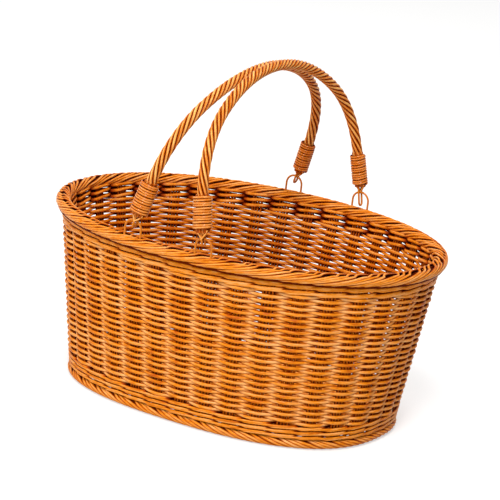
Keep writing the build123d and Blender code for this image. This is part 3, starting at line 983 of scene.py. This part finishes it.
def strap_lines(body, face, width):
    """Fine canes that leave the bundle at both sides and close in on the eye."""
    foot, rise, sideways, deep = bundle_frame(body, face)
    lines, ways = [], []
    share = np.linspace(0, 1, 9)
    for aside, off, drop in straps_of_bundle:
        close = share ** 1.4
        across = width * aside * (1 - close) - math.copysign(0.7, aside) * close
        through = off * (1 - close) + math.copysign(1.2, off) * close
        height = 2.0 - share * (drop + 2.0)
        lines.append(foot + across[:, None] * sideways + through[:, None] * deep + height[:, None] * rise)
        ways.append(np.broadcast_to(math.copysign(1, off) * deep, (len(share), 3)))
    return lines, ways


for body, side in handles:
    for face_name, face in (("near", -1), ("far", 1)):
        width = bundle_widths[face_name]
        line, way, rise = binding_line(body, face, width)
        name = side + "_" + face_name
        # Painted shade in the grooves between the turns, and a painted highlight on each turn's open side.
        piece = lay_canes(name + "_binding_cane", [line], fine_cane, binding_cane, body, reference=rise,
                          facing=[way], dusk_span=(0.7, 0.1), crest=0.4)
        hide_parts(name + "_binding")
        lines, sideways = bundle_lines(body, face, width)
        # The bundle ends are darkened evenly by painted shade.
        bundle = lay_canes(name + "_bundle_ends", lines, bundle_cane, handle_cane, body, reference=sideways,
                           least_dusk=0.35)
        lines, ways = strap_lines(body, face, width)
        # The straps get painted shade on the side turned into the bundle and a painted highlight on the other.
        straps = lay_canes(name + "_straps", lines, strap_cane, loop_cane, body, reference=sideways, facing=ways,
                           dusk_span=(0.4, -0.5), crest=0.8)
        for extra in (bundle, straps):
            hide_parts(side + "_hoop")

# %% [markdown]
# ## Pieces that keep their shape
#
# The rim loops and the eyes are plain bends of thin cane over wire, and the floor ribs are straight rods. The
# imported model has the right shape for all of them, so they stay and only get their finish here.

# %% Finish the kept solids
ribs = frame["nodes"]["floor_ribs"]
ribs.data.materials.clear()
ribs.data.materials.append(stake_cane)
for side in ("left", "right"):
    for face_name in ("near", "far"):
        for kind in ("rim_loop", "eye"):
            kept = frame["nodes"][side + "_" + face_name + "_" + kind]
            kept.data.materials.clear()
            kept.data.materials.append(loop_cane)
print("kept as they are: floor ribs, four rim loops, four eyes")

# %% [markdown]
# ## Floor and light
#
# The photo is a product shot on pure white. A pale floor takes the basket's soft shadow, and to the camera it adds
# just enough light of its own to reach white. Four large soft lamps and a pale sky light the canes evenly.

# %% Floor
floor_radius, floor_drop = 9.0, 0.0002


def seen_ray(tree):
    """One for camera, glossy and transmission rays, and nothing for the rays that carry light."""
    path = add_node(tree, "ShaderNodeLightPath")
    seen = path.outputs["Is Camera Ray"]
    for name in ("Is Glossy Ray", "Is Transmission Ray"):
        seen = add_node(tree, "ShaderNodeMath", {"operation": "MAXIMUM"}, {0: seen, 1: path.outputs[name]}).outputs[0]
    return seen


bpy.ops.mesh.primitive_circle_add(vertices=96, radius=floor_radius, fill_type="NGON",
                                  location=(0, 0, -floor_drop))
studio_floor = bpy.context.object
studio_floor.name = "studio_floor"
floor_paint = bpy.data.materials.new("matt_white_floor")
floor_paint.use_nodes = True
tree = floor_paint.node_tree
tree.nodes.clear()
paint = add_node(tree, "ShaderNodeBsdfDiffuse", {"Color": colour("#C8C8C8")})
glow = add_node(tree, "ShaderNodeEmission", {"Color": colour("#FFFFFF"), "Strength": 0.55})
lit = add_node(tree, "ShaderNodeAddShader", {}, {0: paint.outputs[0], 1: glow.outputs[0]})
chosen = add_node(tree, "ShaderNodeMixShader", {}, {0: seen_ray(tree), 1: paint.outputs[0], 2: lit.outputs[0]})
add_node(tree, "ShaderNodeOutputMaterial", {}, {0: chosen.outputs[0]})
studio_floor.data.materials.append(floor_paint)
studio_floor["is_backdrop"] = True
print("floor radius", floor_radius, "m, just under the foot")

# %% [markdown]
# The sky has two strengths. The canes are lit by a soft, slightly warm one, while the camera and the reflections in
# the lacquer see plain white. The lamps are large and far away, so no cane throws a hard shadow on the next.

# %% Sky and lamps
world = bpy.data.worlds.new("studio")
bpy.context.scene.world = world
world.use_nodes = True
tree = world.node_tree
tree.nodes.clear()
soft_sky = add_node(tree, "ShaderNodeBackground", {"Color": colour("#F4F2EE"), "Strength": 0.28})
white_sky = add_node(tree, "ShaderNodeBackground", {"Color": colour("#FFFFFF"), "Strength": 1.0})
sky = add_node(tree, "ShaderNodeMixShader", {},
               {0: seen_ray(tree), 1: soft_sky.outputs[0], 2: white_sky.outputs[0]})
add_node(tree, "ShaderNodeOutputWorld", {}, {0: sky.outputs[0]})


def lamp(name, place, size, power):
    """A square soft lamp that faces the middle of the basket."""
    data = bpy.data.lights.new(name, "AREA")
    data.size, data.energy = size, power
    made = bpy.data.objects.new(name, data)
    bpy.context.scene.collection.objects.link(made)
    aim = Vector((0, 0, 0.12)) - Vector(place)
    made.location = place
    made.rotation_mode = "QUATERNION"
    made.rotation_quaternion = aim.to_track_quat("-Z", "Y")


lamp("key", (0.9, -2.6, 3.6), 1.4, 130)
lamp("front", (0.8, -3.2, 0.8), 1.6, 32)
lamp("fill", (-2.8, -2.0, 1.6), 2.0, 36)
lamp("top", (0.2, 0.9, 4.0), 2.0, 70)
bpy.context.scene.view_settings.view_transform = "Standard"
print("lamps:", [light.name for light in bpy.data.lights])

# %% [markdown]
#
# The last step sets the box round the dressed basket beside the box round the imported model. They should agree
# within a fraction of a millimetre.

seen_low, seen_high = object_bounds()
changes = np.abs(np.array([*seen_low, *seen_high]) - np.array([*cad_low, *cad_high])) / mm
print("largest change of the box", round(float(changes.max()), 2), "mm")
